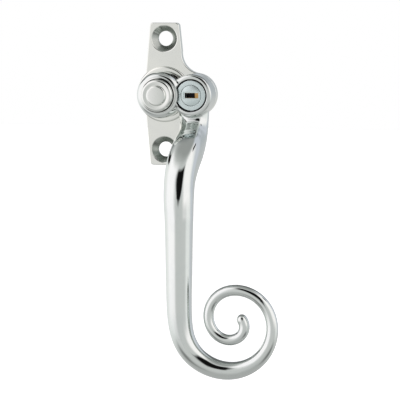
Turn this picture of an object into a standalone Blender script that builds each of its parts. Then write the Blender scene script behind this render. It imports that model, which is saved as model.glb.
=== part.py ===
# Locking casement window fastener with a curled lever handle.
#
# Frame: X to the right seen from the room, +Y into the sash, +Z up.
# The origin is on the spindle's axis, in the plane of the sash face (the back
# of the back plate). The room side faces -Y. Lengths below are millimetres;
# MM turns them into metres.

import bpy
import bmesh
import math
from mathutils import Matrix, Vector

MM = 0.001
GAP = 0.25                     # running gap between neighbouring pieces

# ---------------------------------------------------------------- back plate
PLATE_T = 3.0                  # thickness
PLATE_HALF_H = 27.6            # half of the plate's height
PLATE_HALF_W0 = 8.10           # half width extrapolated to the pivot's height
PLATE_TAPER = 0.083            # the half width lost per mm of height
PLATE_CORNER = 1.3             # radius of the four outer corners
PLATE_EDGE = 0.35              # softened edge
SCREW_PITCH = 43.0             # between the two fixing screws
SCREW_HOLE_R = 2.9             # clearance for M5
CSK_R = 5.08                   # countersink at the front face
BOSS_R = 10.8                  # raised boss round the pivot
BOSS_TOP = 3.8                 # front of the boss, from the sash face
LOBE_R = 8.3                   # lobe behind the lock
LOBE_X = 12.4                  # the lobe's centre
LOBE_FILLET = 8.0
PLATE_BORE_R = 5.75
COUNTERBORE_R = 8.6
COUNTERBORE_D = 1.7
WASHER_SEAT_R = 9.05
WASHER_SEAT = 3.3              # floor of the washer's seat, from the sash face

# --------------------------------------------------------------------- lever
LOCK_X = 12.6                  # lock axis, to the right of the pivot
HUB_R = 9.0
HUB_BACK = 4.25                # rear face of the hub, from the sash face
HUB_SHOULDER = 11.1            # where the hub's wall turns into the shoulder
HUB_FRONT = 12.6
SPIGOT_R = 5.5
HOUSING_R_BASE = 8.3
HOUSING_R_RIM = 8.1
HOUSING_BACK = 3.4
HOUSING_FRONT = 11.4
BARREL_BORE_R = 6.05
GRIP_DEPTH = 29.2              # grip axis, from the sash face

# --------------------------------------------------------------------- lock
BARREL_R = 5.8
BARREL_FRONT = 11.2
BARREL_BACK = 7.85
PLUG_R = 3.95
PLUG_FRONT = 11.1
PLUG_BACK = 8.6
CAM_R = 3.4
CAM_FRONT = 7.65
CAM_BACK = 4.35
BOLT_X = 7.4                   # lock bolt, on the line from pivot to lock
BOLT_R = 0.9
BOLT_STROKE = 1.7
KEY_TURN = math.pi / 2

# ------------------------------------------------------------------- spindle
SPINDLE_W = 7.0
SPINDLE_FRONT = 9.4
SPINDLE_REACH = 25.0           # behind the sash face


# ============================================================ scene clean-up
for ob in list(bpy.data.objects):
    bpy.data.objects.remove(ob, do_unlink=True)
for me in list(bpy.data.meshes):
    bpy.data.meshes.remove(me)

PARTS = bpy.data.collections.new("casement_window_fastener")
CUTTERS = bpy.data.collections.new("cutters")
bpy.context.scene.collection.children.link(PARTS)
bpy.context.scene.collection.children.link(CUTTERS)


# ================================================================= materials
def material(name, colour, roughness, metallic):
    m = bpy.data.materials.new(name)
    m.use_nodes = True
    b = m.node_tree.nodes["Principled BSDF"]
    b.inputs["Base Color"].default_value = (*colour, 1.0)
    b.inputs["Roughness"].default_value = roughness
    b.inputs["Metallic"].default_value = metallic
    m.diffuse_color = (*colour, 1.0)
    return m


CHROME_PLATE = material("chrome_back_plate", (0.78, 0.79, 0.78), 0.10, 1.0)
CHROME_LEVER = material("chrome_lever", (0.80, 0.81, 0.80), 0.06, 1.0)
CHROME_CAP = material("chrome_cap", (0.80, 0.81, 0.80), 0.06, 1.0)
SATIN_BARREL = material("satin_barrel", (0.72, 0.77, 0.78), 0.35, 1.0)
SATIN_PLUG = material("satin_plug", (0.70, 0.76, 0.77), 0.35, 1.0)
BRASS = material("brass_wafer", (0.78, 0.55, 0.22), 0.30, 1.0)
SPRING_STEEL = material("spring_steel", (0.55, 0.56, 0.58), 0.30, 1.0)
ZINC_STEEL = material("zinc_steel", (0.62, 0.63, 0.62), 0.35, 1.0)
BLACK_STEEL = material("black_steel", (0.10, 0.10, 0.11), 0.45, 1.0)
NYLON = material("white_nylon", (0.88, 0.87, 0.83), 0.50, 0.0)


# =================================================================== helpers
def link(ob, coll):
    for c in list(ob.users_collection):
        c.objects.unlink(ob)
    coll.objects.link(ob)
    if coll is CUTTERS:
        ob.hide_render = True
        ob.display_type = 'WIRE'
    return ob


def from_bmesh(name, bm, mat=None, coll=None, smooth=True):
    me = bpy.data.meshes.new(name)
    bmesh.ops.recalc_face_normals(bm, faces=bm.faces[:])
    bm.to_mesh(me)
    bm.free()
    if mat:
        me.materials.append(mat)
    ob = bpy.data.objects.new(name, me)
    link(ob, coll or PARTS)
    if smooth:
        me.shade_smooth()
        me.set_sharp_from_angle(angle=math.radians(35))
    return ob


def turned(name, profile, mat=None, coll=None, steps=32, at=(0.0, 0.0)):
    """A turned piece about a Y-parallel axis through (x, z) = at.
    profile: (radius, distance from the sash face towards the room), listed
    down the outer side from the front."""
    me = bpy.data.meshes.new(name)
    # blanks and cutters start a fraction of a step round, so that their edges
    # never coincide with those of the piece they meet
    a = 2 * math.pi / steps * 0.37 if coll is CUTTERS else 0.0
    verts = [(r * math.cos(a) * MM, r * math.sin(a) * MM, d * MM) for r, d in profile]
    n = len(verts)
    closed = profile[0][0] > 1e-6 or profile[-1][0] > 1e-6
    edges = [(i, i + 1) for i in range(n - 1)]
    if closed:
        edges.append((n - 1, 0))
    me.from_pydata(verts, edges, [])
    if mat:
        me.materials.append(mat)
    ob = bpy.data.objects.new(name, me)
    link(ob, coll or PARTS)
    ob.rotation_euler = (math.pi / 2, 0, 0)      # local +Z points to the room
    ob.location = (at[0] * MM, 0, at[1] * MM)
    s = ob.modifiers.new("turn", 'SCREW')
    s.axis = 'Z'
    s.steps = s.render_steps = steps
    s.use_merge_vertices = True
    s.merge_threshold = 0.00001
    s.use_smooth_shade = True
    return ob


def box(name, lo, hi, mat=None, coll=None):
    bm = bmesh.new()
    bmesh.ops.create_cube(bm, size=1.0)
    c = [(a + b) / 2 * MM for a, b in zip(lo, hi)]
    s = [abs(b - a) * MM for a, b in zip(lo, hi)]
    bmesh.ops.scale(bm, vec=s, verts=bm.verts)
    bmesh.ops.translate(bm, vec=c, verts=bm.verts)
    return from_bmesh(name, bm, mat, coll, smooth=False)


def rod(name, p, q, radius, mat=None, coll=None, segments=16):
    """Cylinder from p to q."""
    p, q = Vector(p) * MM, Vector(q) * MM
    bm = bmesh.new()
    bmesh.ops.create_cone(bm, cap_ends=True, segments=segments, radius1=radius * MM,
                          radius2=radius * MM, depth=(q - p).length)
    turn = Vector((0, 0, 1)).rotation_difference((q - p).normalized()).to_matrix().to_4x4()
    bmesh.ops.transform(bm, matrix=Matrix.Translation((p + q) / 2) @ turn, verts=bm.verts)
    return from_bmesh(name, bm, mat, coll)


def boolean(ob, other, op='DIFFERENCE'):
    m = ob.modifiers.new(op.lower(), 'BOOLEAN')
    m.operation = op
    m.solver = 'EXACT'
    m.object = other
    return m


def weld(ob):
    """Last in a chain of Booleans: joins vertices that lie on each other."""
    m = ob.modifiers.new("weld", 'WELD')
    m.merge_threshold = 0.000004
    return m


def loft(name, rings, mat=None, coll=None):
    """Closed tube through rings of equal length, with flat ends."""
    bm = bmesh.new()
    loops = [[bm.verts.new(Vector(p) * MM) for p in ring] for ring in rings]
    n = len(loops[0])
    for a, b in zip(loops[:-1], loops[1:]):
        for i in range(n):
            j = (i + 1) % n
            bm.faces.new((a[i], a[j], b[j], b[i]))
    bm.faces.new(list(reversed(loops[0])))
    bm.faces.new(loops[-1])
    return from_bmesh(name, bm, mat, coll)


def arc(cx, cy, r, a0, a1, n):
    """n + 1 points on an arc, angles in degrees."""
    return [(cx + r * math.cos(math.radians(a0 + (a1 - a0) * i / n)),
             cy + r * math.sin(math.radians(a0 + (a1 - a0) * i / n))) for i in range(n + 1)]


def pivot(name, at, parent=None):
    e = bpy.data.objects.new(name, None)
    e.empty_display_size = 0.004
    PARTS.objects.link(e)
    e.location = Vector(at) * MM
    if parent:
        parent_to(e, parent)
    return e


def parent_to(ob, parent):
    bpy.context.view_layer.update()
    ob.parent = parent
    ob.matrix_parent_inverse = parent.matrix_world.inverted()


# ================================================================ back plate
def half_width(z):
    return PLATE_HALF_W0 - PLATE_TAPER * abs(z)


def plate_outline():
    """Counter-clockwise outline in (x, z), from the bottom left corner."""
    pts = []
    top, c = PLATE_HALF_H, PLATE_CORNER
    wt = half_width(top)
    # lobe and its fillets, upper half; the fillet's centre lies outside the
    # tapered side and at fillet + lobe radius from the lock's axis
    slope = math.atan(PLATE_TAPER)
    zc = 16.0
    for _ in range(30):
        xc = half_width(zc) + LOBE_FILLET / math.cos(slope)
        zc = math.sqrt((LOBE_FILLET + LOBE_R) ** 2 - (xc - LOBE_X) ** 2)
    toward_lobe = math.degrees(math.atan2(-zc, LOBE_X - xc)) % 360
    side = 180 - math.degrees(slope)
    right_up = arc(xc, zc, LOBE_FILLET, toward_lobe, side + 0.0, 7)
    a_lobe = math.degrees(math.atan2(zc, xc - LOBE_X))
    lobe = arc(LOBE_X, 0, LOBE_R, -a_lobe, a_lobe, 18)
    right_down = [(x, -z) for x, z in reversed(right_up)]
    pts += [(-x, -z) for x, z in arc(wt - c, top - c, c, 0, 90, 3)]          # bottom left
    pts += [(x, -z) for x, z in reversed(arc(wt - c, top - c, c, 0, 90, 3))]  # bottom right
    pts += right_down[:-1] + lobe + right_up[1:]
    pts += arc(wt - c, top - c, c, 0, 90, 3)                                  # top right
    pts += [(-x, z) for x, z in reversed(arc(wt - c, top - c, c, 0, 90, 3))]  # top left
    pts.append((-half_width(0), 0.0))
    return pts


def flat_outline(name, pts, d0, d1, mat=None):
    """Flat plate from a 2D curve; between d0 and d1 from the sash face."""
    cu = bpy.data.curves.new(name + "_outline", 'CURVE')
    cu.dimensions = '2D'
    cu.fill_mode = 'BOTH'
    cu.extrude = abs(d1 - d0) / 2 * MM
    sp = cu.splines.new('POLY')
    sp.points.add(len(pts) - 1)
    for p, (x, z) in zip(sp.points, pts):
        p.co = (x * MM, z * MM, 0, 1)
    sp.use_cyclic_u = True
    guide = bpy.data.objects.new(name + "_outline", cu)
    bpy.context.scene.collection.objects.link(guide)
    guide.rotation_euler = (math.pi / 2, 0, 0)
    guide.location = (0, -(d0 + d1) / 2 * MM, 0)
    bpy.context.view_layer.update()
    dg = bpy.context.evaluated_depsgraph_get()
    me = bpy.data.meshes.new_from_object(guide.evaluated_get(dg))
    world = guide.matrix_world.copy()
    bpy.data.objects.remove(guide, do_unlink=True)
    bm = bmesh.new()
    bm.from_mesh(me)
    bpy.data.meshes.remove(me)
    bmesh.ops.remove_doubles(bm, verts=bm.verts, dist=0.000001)
    bmesh.ops.dissolve_limit(bm, angle_limit=0.01, verts=bm.verts, edges=bm.edges)
    bmesh.ops.transform(bm, matrix=world, verts=bm.verts)
    return from_bmesh(name, bm, mat, PARTS)


plate = flat_outline("back_plate", plate_outline(), 0.0, PLATE_T, CHROME_PLATE)
bv = plate.modifiers.new("soft_edges", 'BEVEL')
bv.width = PLATE_EDGE * MM
bv.segments = 1
bv.limit_method = 'ANGLE'
bv.angle_limit = math.radians(60)
boss = turned("boss_blank", [(0, BOSS_TOP), (BOSS_R - 0.9, BOSS_TOP), (BOSS_R - 0.35, BOSS_TOP - 0.3),
                             (BOSS_R, BOSS_TOP - 0.75), (BOSS_R, 2.0), (0, 2.0)], coll=CUTTERS, steps=48)
boolean(plate, boss, 'UNION')
bore = turned("plate_bore_cut", [(0, BOSS_TOP + 2), (WASHER_SEAT_R, BOSS_TOP + 2),
                                 (WASHER_SEAT_R, WASHER_SEAT), (PLATE_BORE_R, WASHER_SEAT),
                                 (PLATE_BORE_R, COUNTERBORE_D), (COUNTERBORE_R, COUNTERBORE_D),
                                 (COUNTERBORE_R, -1), (0, -1)], coll=CUTTERS, steps=40)
boolean(plate, bore)
for sign, nm in ((1, "top"), (-1, "bottom")):
    hole = turned("screw_hole_cut_" + nm,
                  [(0, PLATE_T + 1), (CSK_R + 1, PLATE_T + 1), (SCREW_HOLE_R, PLATE_T - (CSK_R - SCREW_HOLE_R)),
                   (SCREW_HOLE_R, -1), (0, -1)], coll=CUTTERS, steps=32, at=(0, sign * SCREW_PITCH / 2))
    boolean(plate, hole)
# bolt sockets: one for the closed handle (at +X), one for the open one (at +Z)
SOCKET_R = BOLT_R + 0.15
for (x, z), nm in (((BOLT_X, 0), "closed"), ((0, BOLT_X), "open")):
    sock = rod("bolt_socket_cut_" + nm, (x, -WASHER_SEAT - 1, z), (x, -WASHER_SEAT + 0.9, z), SOCKET_R,
               coll=CUTTERS, segments=16)
    boolean(plate, sock)

weld(plate)

# friction washer, held still in the boss, with a hole over each socket
WASHER_BACK, WASHER_FRONT = 3.55, 4.0
fw = turned("friction_washer", [(8.85, WASHER_FRONT), (8.85, WASHER_BACK), (5.9, WASHER_BACK), (5.9, WASHER_FRONT)],
            NYLON, steps=40)
for (x, z), nm in (((BOLT_X, 0), "closed"), ((0, BOLT_X), "open")):
    boolean(fw, rod("washer_hole_cut_" + nm, (x, -5, z), (x, -2, z), SOCKET_R + 0.1, coll=CUTTERS, segments=15))
weld(fw)


# ===================================================================== lever
lever_axis = pivot("lever_axis", (0, 0, 0))

# The arm: a lofted bar whose section goes from nearly rectangular under the
# lock to round in the grip, then runs on through the curl.
# Neck stations: (distance from the sash face, z, half depth, half width, exponent,
# x offset, how much the room side is narrower)
NECK = [
    (6.45, -2.0, 2.4, 6.0, 5.5, 0.0, 0.38),
    (6.55, -6.0, 2.6, 5.9, 5.5, 0.0, 0.38),
    (6.80, -10.2, 3.0, 5.6, 5.5, 0.05, 0.38),
    (8.50, -14.1, 4.2, 5.5, 4.6, 0.15, 0.30),
    (12.2, -17.7, 5.3, 5.6, 3.9, 0.15, 0.15),
    (16.9, -21.1, 6.0, 5.8, 3.4, 0.0, 0.05),
    (21.6, -25.6, 6.15, 5.85, 2.9, -0.45, 0.0),
    (25.7, -31.3, 5.95, 5.75, 2.4, -0.6, 0.0),
    (28.4, -38.0, 5.6, 5.7, 2.15, -0.3, 0.0),
    (29.2, -45.0, 5.38, 5.45, 2.0, 0.0, 0.0),
]
GRIP = [(-50.0, 5.28), (-58.0, 5.14), (-66.0, 5.03)]     # (z, radius)
CURL_TOP = -72.0
CURL_LEN = 130.5
# bend radius and bar radius at equal steps along the curl
CURL_BEND = [1e9, 60.0, 16.5, 19.4, 17.6, 16.7, 16.1, 13.6, 13.5, 9.9, 9.6, 6.5, 4.2]
CURL_BAR = [4.9, 4.69, 4.28, 3.83, 3.34, 2.77, 2.35, 2.18, 2.15, 2.1, 2.03, 2.07, 2.1]
RING = 16


def smooth_table(values, t):
    """Cubic through equally spaced values, t from 0 to 1."""
    n = len(values) - 1
    x = min(max(t, 0.0), 1.0) * n
    k = min(int(x), n - 1)
    u = x - k

    def slope(i):
        if i == 0:
            return values[1] - values[0]
        if i == n:
            return values[n] - values[n - 1]
        return (values[i + 1] - values[i - 1]) / 2
    a, b, ma, mb = values[k], values[k + 1], slope(k), slope(k + 1)
    return ((2 * u ** 3 - 3 * u * u + 1) * a + (u ** 3 - 2 * u * u + u) * ma
            + (3 * u * u - 2 * u ** 3) * b + (u ** 3 - u * u) * mb)


def curl_path(turn, reach):
    """(x, z, heading, radius) along the curl, a point for every `turn` degrees
    or `reach` mm; the heading turns from down to right."""
    bend = [1.0 / r for r in CURL_BEND]
    steps = 3000
    ds = CURL_LEN / steps
    x, z, th = LOCK_X, CURL_TOP, 0.0
    out = [(x, z, th, CURL_BAR[0])]
    th_last, s_last = 0.0, 0.0
    for i in range(steps):
        th_mid = th + smooth_table(bend, (i + 0.25) / steps) * ds / 2
        x += math.sin(th_mid) * ds
        z -= math.cos(th_mid) * ds
        th += smooth_table(bend, (i + 0.5) / steps) * ds
        s = (i + 1) * ds
        if th - th_last > math.radians(turn) or s - s_last > reach or i == steps - 1:
            if i == steps - 1 and s - s_last < 0.3 * reach and len(out) > 1:
                out.pop()
            out.append((x, z, th, smooth_table(CURL_BAR, (i + 1) / steps)))
            th_last, s_last = th, s
    return out


def superellipse(n, p):
    """Unit ring of n points with exponent p."""
    pts = []
    for i in range(n):
        a = 2 * math.pi * (i + 0.5) / n
        c, s = math.cos(a), math.sin(a)
        k = (abs(c) ** p + abs(s) ** p) ** (-1.0 / p)
        pts.append((c * k, s * k))
    return pts


def arm_rings(per_neck, turn, reach):
    rings = []
    cols = list(zip(*NECK))
    n_neck = (len(NECK) - 1) * per_neck
    for i in range(n_neck + 1):
        t = i / n_neck
        d, z, hd, hw, p, dx, taper = (smooth_table(c, t) for c in cols)
        e = 0.001
        dd = smooth_table(cols[0], t + e) - smooth_table(cols[0], t - e)
        dz = smooth_table(cols[1], t + e) - smooth_table(cols[1], t - e)
        k = math.hypot(dd, dz)
        fd, fz = dd / k, dz / k                 # path direction
        nd, nz = -fz, fd                        # towards the room side
        rings.append([(LOCK_X + dx + hw * u * (1 - taper * max(v, 0.0)), -(d + nd * hd * v), z + nz * hd * v)
                      for u, v in superellipse(RING, p)])
    for z, r in GRIP:
        rings.append([(LOCK_X + r * u, -(GRIP_DEPTH + r * v), z) for u, v in superellipse(RING, 2)])
    for x, z, th, r in curl_path(turn, reach):
        rings.append([(x + math.cos(th) * r * u, -(GRIP_DEPTH + r * v), z + math.sin(th) * r * u)
                      for u, v in superellipse(RING, 2)])
    # rounded tip
    x, z, th, r = curl_path(turn, reach)[-1]
    for a in (30, 55, 75):
        f, q = math.sin(math.radians(a)) * r, math.cos(math.radians(a)) * r
        cx, cz = x + math.sin(th) * f, z - math.cos(th) * f
        rings.append([(cx + math.cos(th) * q * u, -(GRIP_DEPTH + q * v), cz + math.sin(th) * q * u)
                      for u, v in superellipse(RING, 2)])
    return rings


lever = loft("lever", arm_rings(2, 11.0, 4.5), CHROME_LEVER)
hub = turned("hub_blank", [(0, HUB_FRONT)] +
             [(HUB_R - 1.5 + 1.5 * math.sin(math.radians(a)), HUB_SHOULDER + 1.5 * math.cos(math.radians(a)))
              for a in (0, 30, 60, 90)] +
             [(HUB_R, HOUSING_BACK + 0.1), (0, HOUSING_BACK + 0.1)],
             coll=CUTTERS, steps=40)
housing = turned("housing_blank", [(0, HOUSING_FRONT), (HOUSING_R_RIM - 0.6, HOUSING_FRONT),
                                   (HOUSING_R_RIM - 0.15, HOUSING_FRONT - 0.2),
                                   (HOUSING_R_RIM, HOUSING_FRONT - 0.6),
                                   (HOUSING_R_BASE, HOUSING_BACK), (0, HOUSING_BACK)],
                 coll=CUTTERS, steps=40, at=(LOCK_X, 0))
# the whole casting clears the boss; the spigot stands in the plate's bore
relief = turned("boss_relief_cut", [(0, HUB_BACK), (BOSS_R + 0.4, HUB_BACK), (BOSS_R + 0.4, 1.0), (0, 1.0)],
                coll=CUTTERS, steps=48)
spigot = turned("spigot_blank", [(0, HUB_BACK + 1.5), (SPIGOT_R, HUB_BACK + 1.5), (SPIGOT_R, COUNTERBORE_D),
                                 (0, COUNTERBORE_D)], coll=CUTTERS, steps=36)
boolean(lever, housing, 'UNION')
boolean(lever, hub, 'UNION')
boolean(lever, relief)
boolean(lever, spigot, 'UNION')
# barrel bore and, behind it, the cam chamber, open to the back
lock_bore = turned("lock_bore_cut", [(0, HOUSING_FRONT + 1), (BARREL_BORE_R + 0.3, HOUSING_FRONT + 1),
                                     (BARREL_BORE_R + 0.3, HOUSING_FRONT - 0.2),
                                     (BARREL_BORE_R, HOUSING_FRONT - 0.5),
                                     (BARREL_BORE_R, BARREL_BACK - GAP), (CAM_R + 0.3, BARREL_BACK - GAP),
                                     (CAM_R + 0.3, 1.0), (0, 1.0)], coll=CUTTERS, steps=40, at=(LOCK_X, 0))
boolean(lever, lock_bore)
# bolt channel and the slot that lets its peg reach the cam
boolean(lever, rod("bolt_channel_cut", (BOLT_X, -BARREL_BACK + 0.1, 0), (BOLT_X, -1, 0), BOLT_R + 0.15,
                   coll=CUTTERS, segments=16))
boolean(lever, box("peg_slot_cut", (BOLT_X, -BARREL_BACK + 0.13, -0.6), (LOCK_X - CAM_R + 0.2, -1, 0.6), coll=CUTTERS))
# pocket for the pin that keeps the barrel in the housing
PIN_Z = -5.95
boolean(lever, rod("pin_pocket_cut", (LOCK_X, -9.8, PIN_Z), (LOCK_X, -1, PIN_Z), 0.95, coll=CUTTERS, segments=14))
# square socket of the spindle, screw clearance and the cap's recess
SQ = SPINDLE_W / 2 + 0.15
boolean(lever, box("spindle_socket_cut", (-SQ, -SPINDLE_FRONT - GAP, -SQ), (SQ, 1, SQ), coll=CUTTERS))
cap_recess = turned("cap_recess_cut", [(0, HUB_FRONT + 1), (5.3, HUB_FRONT + 1), (5.3, 10.8), (2.15, 10.8),
                                       (2.15, SPINDLE_FRONT - 1), (0, SPINDLE_FRONT - 1)],
                    coll=CUTTERS, steps=32)
boolean(lever, cap_recess)
weld(lever)

# stepped domed cap with a skirt in the hub's recess
cap_profile = []
cap_profile += [(0, 16.3), (3.3, 16.3)]
cap_profile += arc(3.3, 15.1, 1.2, 70, 0, 3)
cap_profile += [(4.5, 14.75), (4.95, 14.62)]
cap_profile += arc(5.55, 13.1, 1.45, 75, -10, 5)
cap_profile += [(6.75, 12.85), (5.05, 12.85), (5.05, 11.6), (4.2, 11.6), (4.2, 13.6), (0, 13.6)]
cap = turned("hub_cap", cap_profile, CHROME_CAP, steps=40)

# spindle: square bar, ring grooves at its corners, tapped front end
spindle = box("spindle", (-SPINDLE_W / 2, -SPINDLE_FRONT, -SPINDLE_W / 2),
              (SPINDLE_W / 2, SPINDLE_REACH, SPINDLE_W / 2), ZINC_STEEL)
sb = spindle.modifiers.new("corner", 'BEVEL')
sb.width = 0.3 * MM
sb.segments = 1
sb.limit_method = 'ANGLE'
boolean(spindle, turned("spindle_groove_cut", [(6.5, 0.72), (6.5, 0.08), (4.25, 0.08), (4.25, 0.72)],
                        coll=CUTTERS, steps=32))
boolean(spindle, rod("spindle_thread_cut", (0, -SPINDLE_FRONT - 1, 0), (0, -2.6, 0), 1.95, coll=CUTTERS, segments=16))

spindle_screw = turned("spindle_screw", [(0, 13.1), (2.5, 13.1), (3.3, 12.7), (3.4, 11.05), (1.7, 11.05),
                                         (1.7, 3.6), (1.3, 3.1), (0, 3.1)], ZINC_STEEL, steps=20)
boolean(spindle_screw, box("screw_slot_cut", (-4, -14, -0.4), (4, -12.3, 0.4), coll=CUTTERS))

# wave washer: a flat ring whose surface follows three waves
wave = turned("wave_washer", [(8.2, 1.32), (8.2, 1.08), (6.0, 1.08), (6.0, 1.32)], SPRING_STEEL, steps=36)


def bake(ob):
    """Replace an object's mesh by its evaluated one, in world space."""
    bpy.context.view_layer.update()
    dg = bpy.context.evaluated_depsgraph_get()
    me = bpy.data.meshes.new_from_object(ob.evaluated_get(dg))
    me.transform(ob.matrix_world)
    ob.modifiers.clear()
    ob.data = me
    ob.matrix_world = Matrix.Identity(4)
    return me


wm = bake(wave)
for v in wm.vertices:
    a = math.atan2(v.co.z, v.co.x)
    v.co.y -= 0.11 * MM * math.sin(3 * a)

# thrust washer with a square hole
thrust = turned("thrust_washer", [(0, 0.9), (8.1, 0.9), (8.1, 0.7), (0, 0.7)], ZINC_STEEL, steps=32)
boolean(thrust, box("thrust_hole_cut", (-SQ, -3, -SQ), (SQ, 1, SQ), coll=CUTTERS))

# snap ring, open at the bottom
circlip = turned("spindle_circlip", [(5.9, 0.58), (5.9, 0.2), (4.4, 0.2), (4.4, 0.58)], SPRING_STEEL, steps=32)
boolean(circlip, box("circlip_gap_cut", (-1.3, -1.5, -8), (1.3, 0.5, -3), coll=CUTTERS))


# ====================================================================== lock
key_axis = pivot("key_axis", (LOCK_X, 0, 0), lever_axis)
barrel = turned("lock_barrel", [(BARREL_R - 0.25, BARREL_FRONT), (BARREL_R, BARREL_FRONT - 0.25),
                                (BARREL_R, BARREL_BACK), (2.6, BARREL_BACK), (2.6, BARREL_BACK + 0.55),
                                (PLUG_R + 0.2, BARREL_BACK + 0.55), (PLUG_R + 0.2, BARREL_FRONT)],
                SATIN_BARREL, steps=40, at=(LOCK_X, 0))
boolean(barrel, rod("barrel_pin_cut", (LOCK_X, -9.8, PIN_Z), (LOCK_X, -1, PIN_Z), 0.95, coll=CUTTERS, segments=14))
barrel_pin = rod("barrel_pin", (LOCK_X, -9.6, PIN_Z), (LOCK_X, -3.6, PIN_Z), 0.7, SPRING_STEEL, segments=12)

plug = turned("lock_plug", [(0, PLUG_FRONT), (PLUG_R, PLUG_FRONT), (PLUG_R, PLUG_BACK), (2.3, PLUG_BACK),
                            (2.3, CAM_FRONT + GAP), (0, CAM_FRONT + GAP)], SATIN_PLUG, steps=32, at=(LOCK_X, 0))
TAIL = 1.2                       # half side of the square tail that carries the cam
boolean(plug, box("plug_tail_blank", (LOCK_X - TAIL, -CAM_FRONT - 1.2, -TAIL), (LOCK_X + TAIL, -CAM_BACK - 0.35, TAIL),
                  coll=CUTTERS), 'UNION')
# keyway: a shallow lead-in and the slot itself, horizontal
boolean(plug, box("keyway_lead_cut", (LOCK_X - 2.95, -PLUG_FRONT - 1, -1.3), (LOCK_X + 3.35, -PLUG_FRONT + 0.2, 1.3),
                  coll=CUTTERS))
boolean(plug, box("keyway_cut", (LOCK_X - 2.4, -PLUG_FRONT - 1, -1.02), (LOCK_X + 2.95, -PLUG_BACK + 0.2, 1.02),
                  coll=CUTTERS))
boolean(plug, rod("cam_screw_cut", (LOCK_X, -PLUG_BACK + 0.5, 0), (LOCK_X, 0, 0), 0.65, coll=CUTTERS, segments=12))

WAFER_T = 0.28
WAFER_Y = [10.22, 9.62, 9.02]       # wafer planes, from the sash face
for i, d in enumerate(WAFER_Y, 1):
    boolean(plug, box("wafer_slot_cut_%d" % i, (LOCK_X - 3.4, -d - 0.2, -1.5), (LOCK_X + 3.4, -d + 0.2, 1.5), coll=CUTTERS))
    boolean(plug, box("wafer_spring_cut_%d" % i, (LOCK_X - 2.3, -d - 0.2, 1.2), (LOCK_X + 1.7, -d + 0.2, 2.4), coll=CUTTERS))
    shift = 0.25 * (i - 2)                  # each wafer is cut for a different key step
    w = box("wafer_%d" % i, (LOCK_X - 3.2, -d - WAFER_T / 2, -1.3), (LOCK_X + 3.2, -d + WAFER_T / 2, 1.3), BRASS)
    boolean(w, box("wafer_window_cut_%d" % i, (LOCK_X - 2.85, -d - 1, -0.95), (LOCK_X + 1.7 + shift, -d + 1, 0.95),
                   coll=CUTTERS))
    boolean(w, box("wafer_ear_%d" % i, (LOCK_X - 2.1, -d - WAFER_T / 2, 1.0), (LOCK_X - 1.6, -d + WAFER_T / 2, 2.2),
                   coll=CUTTERS), 'UNION')
    parent_to(w, key_axis)
    # its spring, a short coil along X
    cu = bpy.data.curves.new("wafer_spring_%d" % i, 'CURVE')
    cu.dimensions = '3D'
    cu.bevel_depth = 0.045 * MM
    cu.bevel_resolution = 0
    cu.use_fill_caps = True
    turns, per, rc = 5, 7, 0.13
    n = turns * per
    sp = cu.splines.new('POLY')
    sp.points.add(n)
    for k in range(n + 1):
        a = 2 * math.pi * k / per
        sp.points[k].co = ((LOCK_X - 1.35 + 2.75 * k / n) * MM, (-d + rc * math.cos(a)) * MM,
                           (1.9 + rc * math.sin(a)) * MM, 1)
    s_ob = bpy.data.objects.new("wafer_spring_%d" % i, cu)
    PARTS.objects.link(s_ob)
    cu.materials.append(SPRING_STEEL)
    bpy.context.view_layer.update()
    me = bpy.data.meshes.new_from_object(s_ob.evaluated_get(bpy.context.evaluated_depsgraph_get()))
    bpy.data.objects.remove(s_ob, do_unlink=True)
    bm = bmesh.new()
    bm.from_mesh(me)
    bpy.data.meshes.remove(me)
    bmesh.ops.remove_doubles(bm, verts=bm.verts, dist=0.000001)
    spring = from_bmesh("wafer_spring_%d" % i, bm, SPRING_STEEL)
    parent_to(spring, key_axis)

# cam drum with a helical groove: the bolt's peg rides in it
cam = turned("lock_cam", [(0, CAM_FRONT), (CAM_R, CAM_FRONT), (CAM_R, CAM_BACK), (0, CAM_BACK)], ZINC_STEEL,
             steps=32, at=(LOCK_X, 0))
boolean(cam, box("cam_square_cut", (LOCK_X - TAIL - 0.15, -12, -TAIL - 0.15), (LOCK_X + TAIL + 0.15, 0, TAIL + 0.15),
                 coll=CUTTERS))
PEG_R = 0.35
PEG_D = 6.85                     # the peg's distance from the sash face at rest
GROOVE_HALF = 0.58
groove = []
lead_in = math.radians(16)
for k in range(19):
    phi = -lead_in + (KEY_TURN + 2 * lead_in) * k / 18
    travel = BOLT_STROKE * min(max(phi / KEY_TURN, 0), 1)
    d = PEG_D - travel
    c, s = -math.cos(phi), -math.sin(phi)
    groove.append([(LOCK_X + r * c, -(d + o), r * s) for r, o in
                   ((2.4, -GROOVE_HALF), (4.2, -GROOVE_HALF), (4.2, GROOVE_HALF), (2.4, GROOVE_HALF))])
boolean(cam, loft("cam_groove_cut", groove, coll=CUTTERS))
cam_screw = turned("cam_screw", [(0, 7.6), (0.45, 7.6), (0.45, CAM_BACK - 0.12), (1.9, CAM_BACK - 0.12), (1.9, CAM_BACK - 0.6),
                    (1.5, CAM_BACK - 0.8), (0, CAM_BACK - 0.8)], ZINC_STEEL, steps=16, at=(LOCK_X, 0))

# bolt: round pin with a side peg in the cam's groove; it moves along +Y
bolt = rod("lock_bolt", (BOLT_X, -(PEG_D + 0.75), 0), (BOLT_X, -(HUB_BACK + 0.05), 0), BOLT_R, BLACK_STEEL, segments=16)
boolean(bolt, rod("bolt_peg_blank", (BOLT_X, -PEG_D, 0), (LOCK_X - 2.65, -PEG_D, 0), PEG_R, coll=CUTTERS, segments=10),
        'UNION')

for ob in (lever, cap, spindle, spindle_screw, wave, thrust, circlip, barrel, barrel_pin):
    parent_to(ob, lever_axis)
for ob in (plug, cam, cam_screw):
    parent_to(ob, key_axis)
bolt_axis = pivot("bolt_axis", (BOLT_X, 0, 0), lever_axis)
parent_to(bolt, bolt_axis)
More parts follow.
